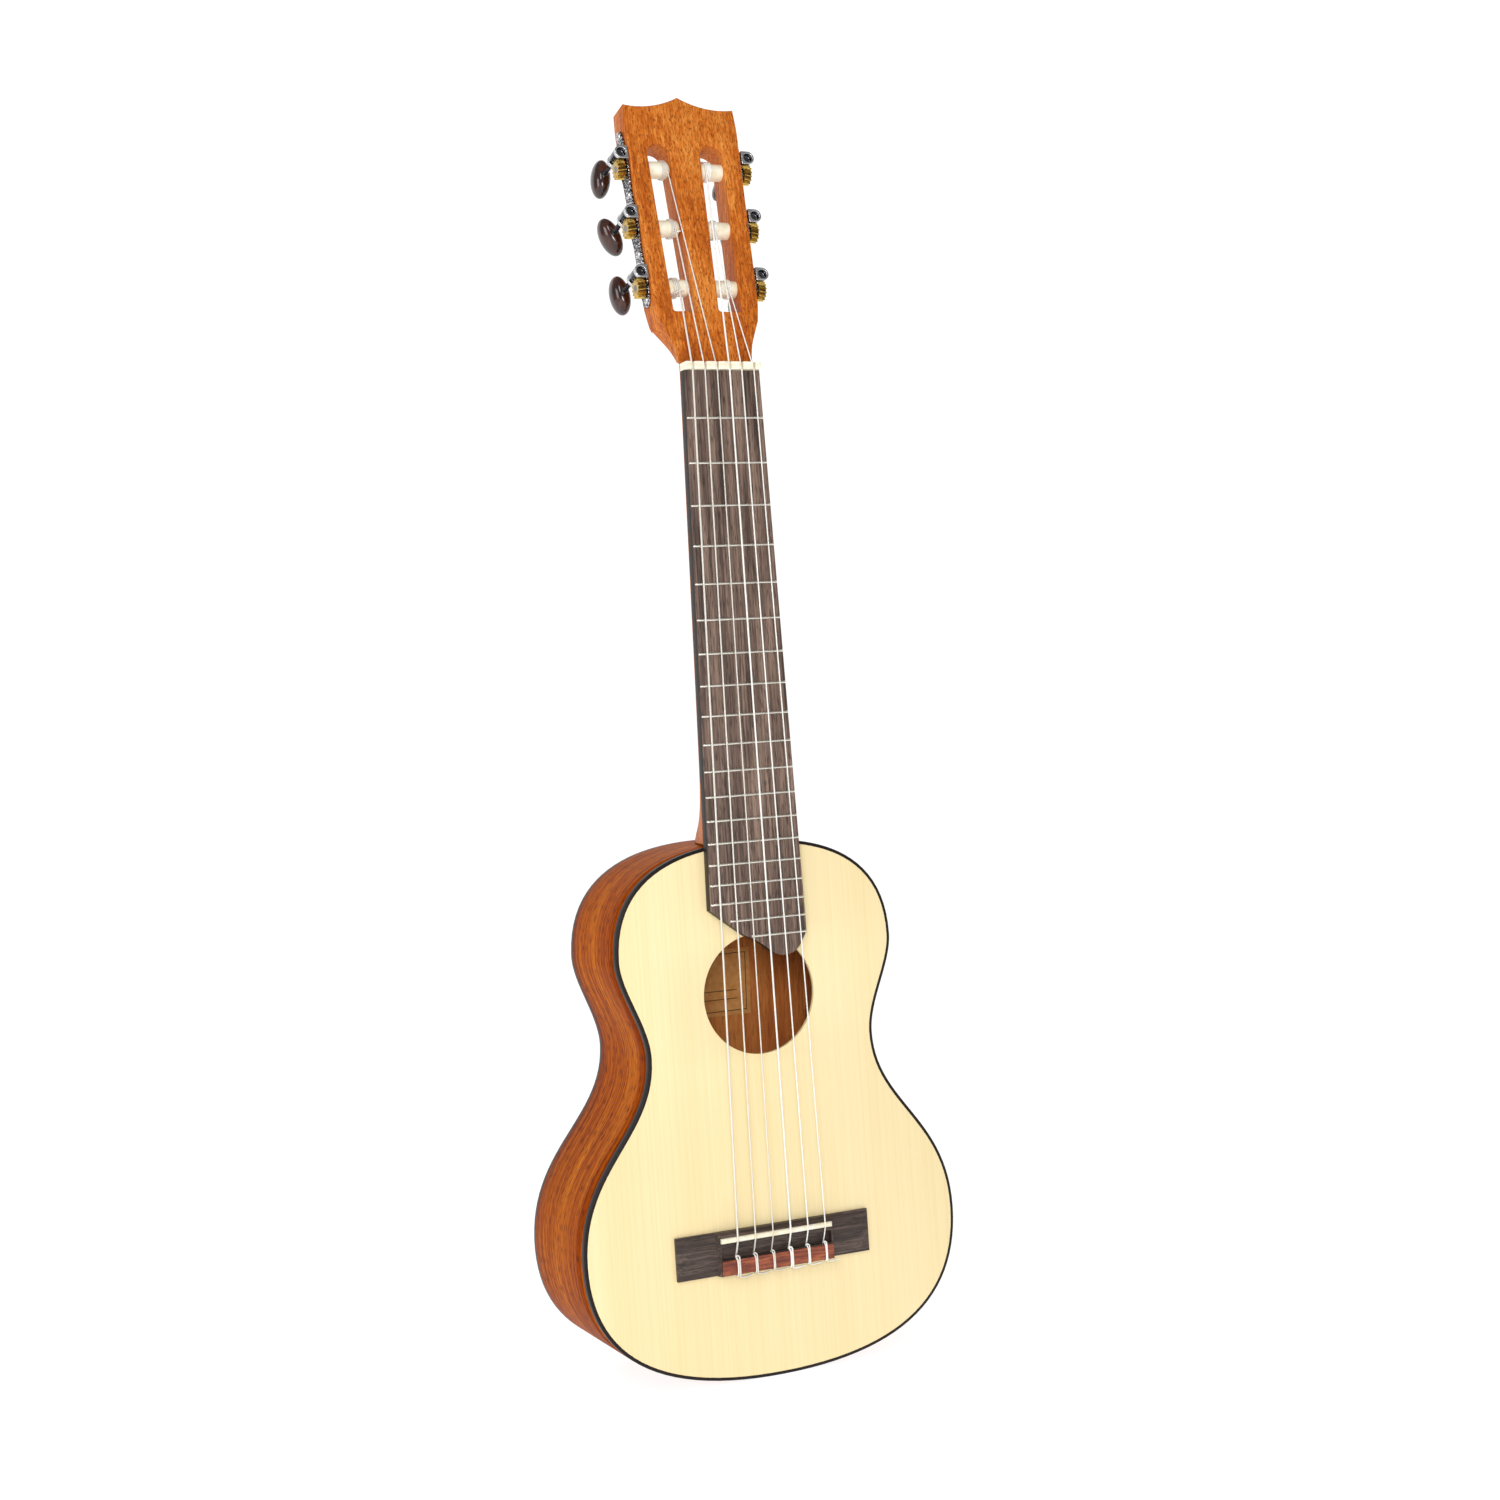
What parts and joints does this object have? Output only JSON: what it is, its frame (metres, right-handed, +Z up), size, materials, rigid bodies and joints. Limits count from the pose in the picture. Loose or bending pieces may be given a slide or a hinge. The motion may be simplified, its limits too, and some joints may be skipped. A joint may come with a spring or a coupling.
{
  "type": "guitalele",
  "caption": "Small slotted-head nylon-string guitar with a waisted hollow body, flat back, round sound hole, fretted neck and geared tuning machines.",
  "frame": {"origin": "on the centre plane under the middle of the object's depth, at the level of the body's tail end", "axes": "+Z up along the neck to the head, -Y out of the soundboard towards the player's audience, +X to the right of someone facing the soundboard"},
  "size_m": [0.223, 0.1002, 0.7118],
  "materials": {
    "soundboard_wood": "thin satin lacquer over pale straight grain",
    "body_wood": "satin lacquer over reddish-brown grain",
    "neck_wood": "satin, orange-brown with short dark pores",
    "fingerboard_wood": "open-grained, oiled, with streaks",
    "bridge_wood": "open-grained, oiled",
    "tie_strip": "satin",
    "binding": "smooth",
    "inner_wood": "raw, sanded",
    "bone": "smooth, slightly cloudy",
    "plate_metal": "dark nickel with a stamped pattern",
    "shaft_metal": "dark nickel",
    "gear_brass": "machined",
    "button": "dark brown, polished",
    "paper": "plain matt paper",
    "nylon": "clear, slightly milky",
    "wound_string": "fine silvery winding"
  },
  "bodies": {
    "instrument": {"soundboard": "soundboard_wood", "back": "body_wood", "rib_bass": "body_wood", "rib_treble": "body_wood", "binding_top": "binding", "binding_back": "binding", "neck_block": "inner_wood", "tail_block": "inner_wood", "neck": "neck_wood", "fingerboard": "fingerboard_wood", "nut": "bone", "bridge": "bridge_wood", "saddle": "bone", "tie_block_strip": "tie_strip", "tuner_plate_bass": "plate_metal", "tuner_plate_treble": "plate_metal", "top_brace_upper": "inner_wood", "top_brace_lower": "inner_wood", "fan_brace_bass": "inner_wood", "fan_brace_middle": "inner_wood", "fan_brace_treble": "inner_wood", "back_brace_upper": "inner_wood", "back_brace_middle": "inner_wood", "back_brace_lower": "inner_wood", "bridge_plate": "inner_wood", "top_lining_bass": "inner_wood", "top_lining_treble": "inner_wood", "back_lining_bass": "inner_wood", "back_lining_treble": "inner_wood", "label": "paper", "string_1": "nylon", "string_2": "nylon", "string_3": "nylon", "string_4": "wound_string", "string_5": "wound_string", "string_6": "wound_string"},
    "key_1": {"worm_shaft_1": "shaft_metal", "button_1": "button"},
    "post_1": {"gear_1": "gear_brass", "roller_1": "bone"},
    "key_2": {"worm_shaft_2": "shaft_metal", "button_2": "button"},
    "post_2": {"gear_2": "gear_brass", "roller_2": "bone"},
    "key_3": {"worm_shaft_3": "shaft_metal", "button_3": "button"},
    "post_3": {"gear_3": "gear_brass", "roller_3": "bone"},
    "key_4": {"worm_shaft_4": "shaft_metal", "button_4": "button"},
    "post_4": {"gear_4": "gear_brass", "roller_4": "bone"},
    "key_5": {"worm_shaft_5": "shaft_metal", "button_5": "button"},
    "post_5": {"gear_5": "gear_brass", "roller_5": "bone"},
    "key_6": {"worm_shaft_6": "shaft_metal", "button_6": "button"},
    "post_6": {"gear_6": "gear_brass", "roller_6": "bone"}
  },
  "joints": [
    {"name": "key_1_turn", "type": "hinge", "parent": "instrument", "child": "key_1", "pos_m": [0.03647, -0.02202, 0.60787], "axis": [0, 0.9823, -0.1874], "continuous": true},
    {"name": "post_1_turn", "type": "hinge", "parent": "instrument", "child": "post_1", "pos_m": [0.03627, -0.02345, 0.60039], "axis": [0.9997, -0.0049, -0.0257], "continuous": true},
    {"name": "key_2_turn", "type": "hinge", "parent": "instrument", "child": "key_2", "pos_m": [0.03739, -0.01547, 0.64224], "axis": [0, 0.9823, -0.1874], "continuous": true},
    {"name": "post_2_turn", "type": "hinge", "parent": "instrument", "child": "post_2", "pos_m": [0.03719, -0.01689, 0.63475], "axis": [0.9997, -0.0049, -0.0257], "continuous": true},
    {"name": "key_3_turn", "type": "hinge", "parent": "instrument", "child": "key_3", "pos_m": [0.0383, -0.00891, 0.67661], "axis": [0, 0.9823, -0.1874], "continuous": true},
    {"name": "post_3_turn", "type": "hinge", "parent": "instrument", "child": "post_3", "pos_m": [0.0381, -0.01034, 0.66912], "axis": [0.9997, -0.0049, -0.0257], "continuous": true},
    {"name": "key_4_turn", "type": "hinge", "parent": "instrument", "child": "key_4", "pos_m": [-0.0383, -0.00891, 0.67661], "axis": [0, 0.9823, -0.1874], "continuous": true},
    {"name": "post_4_turn", "type": "hinge", "parent": "instrument", "child": "post_4", "pos_m": [-0.0381, -0.01034, 0.66912], "axis": [0.9997, 0.0049, 0.0257], "continuous": true},
    {"name": "key_5_turn", "type": "hinge", "parent": "instrument", "child": "key_5", "pos_m": [-0.03739, -0.01547, 0.64224], "axis": [0, 0.9823, -0.1874], "continuous": true},
    {"name": "post_5_turn", "type": "hinge", "parent": "instrument", "child": "post_5", "pos_m": [-0.03719, -0.01689, 0.63475], "axis": [0.9997, 0.0049, 0.0257], "continuous": true},
    {"name": "key_6_turn", "type": "hinge", "parent": "instrument", "child": "key_6", "pos_m": [-0.03647, -0.02202, 0.60787], "axis": [0, 0.9823, -0.1874], "continuous": true},
    {"name": "post_6_turn", "type": "hinge", "parent": "instrument", "child": "post_6", "pos_m": [-0.03627, -0.02345, 0.60039], "axis": [0.9997, 0.0049, 0.0257], "continuous": true}
  ],
  "couplings": [
    {"joint": "post_1_turn", "follows": "key_1_turn", "ratio": 0.071429},
    {"joint": "post_2_turn", "follows": "key_2_turn", "ratio": 0.071429},
    {"joint": "post_3_turn", "follows": "key_3_turn", "ratio": 0.071429},
    {"joint": "post_4_turn", "follows": "key_4_turn", "ratio": -0.071429},
    {"joint": "post_5_turn", "follows": "key_5_turn", "ratio": -0.071429},
    {"joint": "post_6_turn", "follows": "key_6_turn", "ratio": -0.071429}
  ]
}
